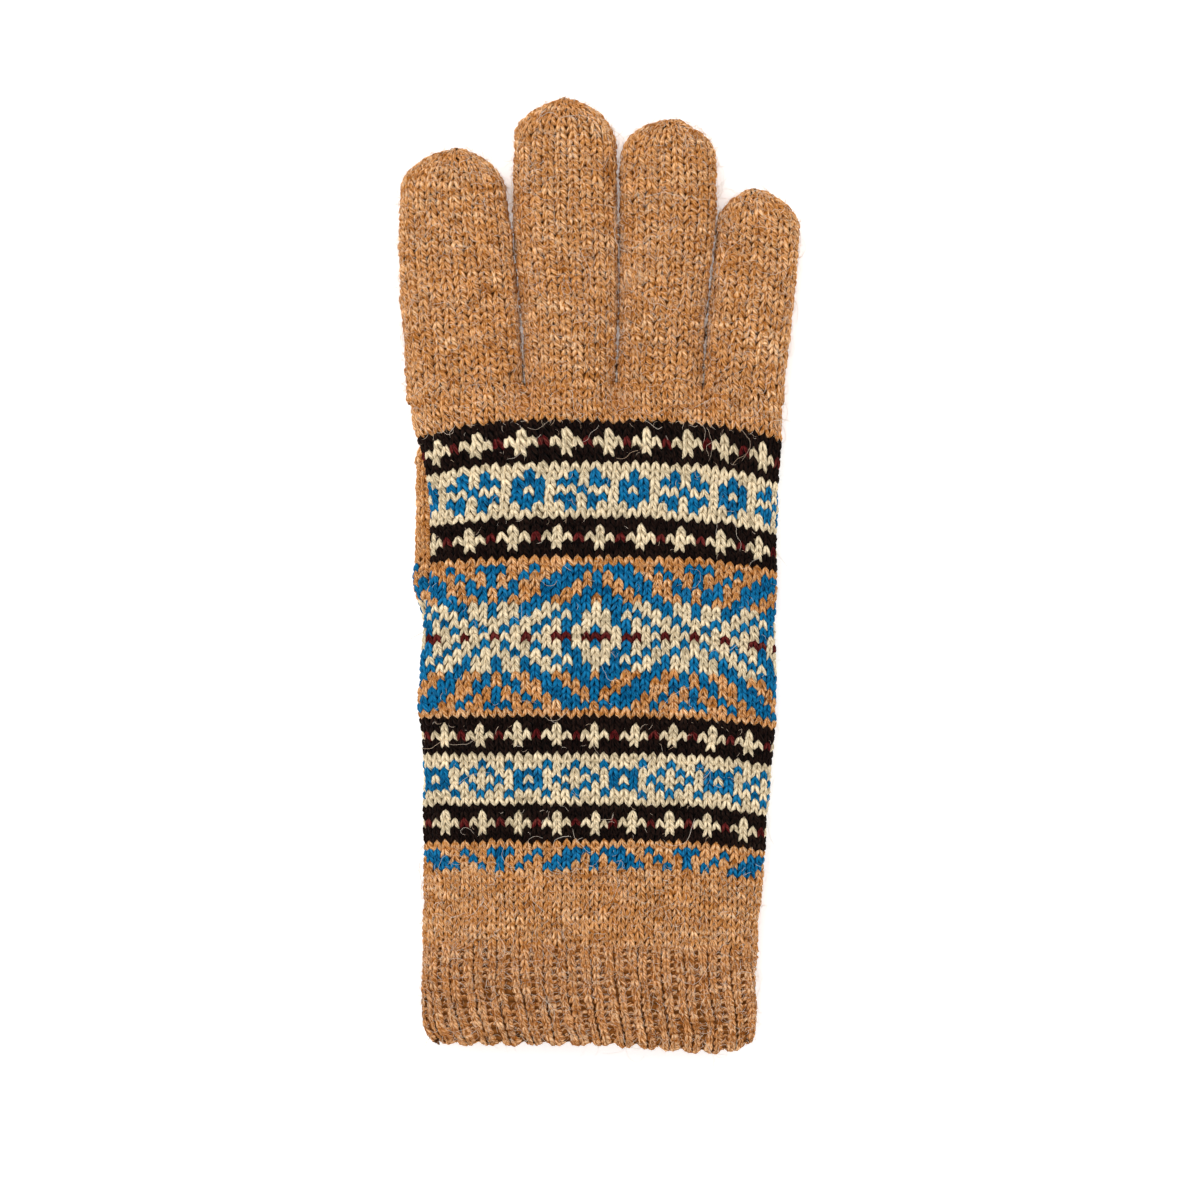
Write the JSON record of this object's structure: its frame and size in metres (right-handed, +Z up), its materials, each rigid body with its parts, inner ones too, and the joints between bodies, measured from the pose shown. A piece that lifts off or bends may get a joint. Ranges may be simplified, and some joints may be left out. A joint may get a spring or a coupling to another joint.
{
  "type": "fair isle knit glove",
  "caption": "Knitted wool glove for the right hand, lying palm down with its thumb tucked under, with a ribbed cuff and banded geometric patterns.",
  "frame": {"origin": "on the surface the glove lies on, under the middle of its bounding box", "axes": "+Z up out of the back of the hand, +Y from the cuff to the finger tips, -X to the thumb side"},
  "size_m": [0.1, 0.2396, 0.0182],
  "materials": {
    "camel_wool": "hairy melange wool, stockinette and rib",
    "patterned_wool": "hairy wool stockinette in camel, blue, cream, brown-black and maroon"
  },
  "bodies": {
    "root": {"cuff": "camel_wool", "hand": "patterned_wool", "thumb": "camel_wool", "index_finger": "camel_wool", "middle_finger": "camel_wool", "ring_finger": "camel_wool", "little_finger": "camel_wool"}
  },
  "joints": []
}
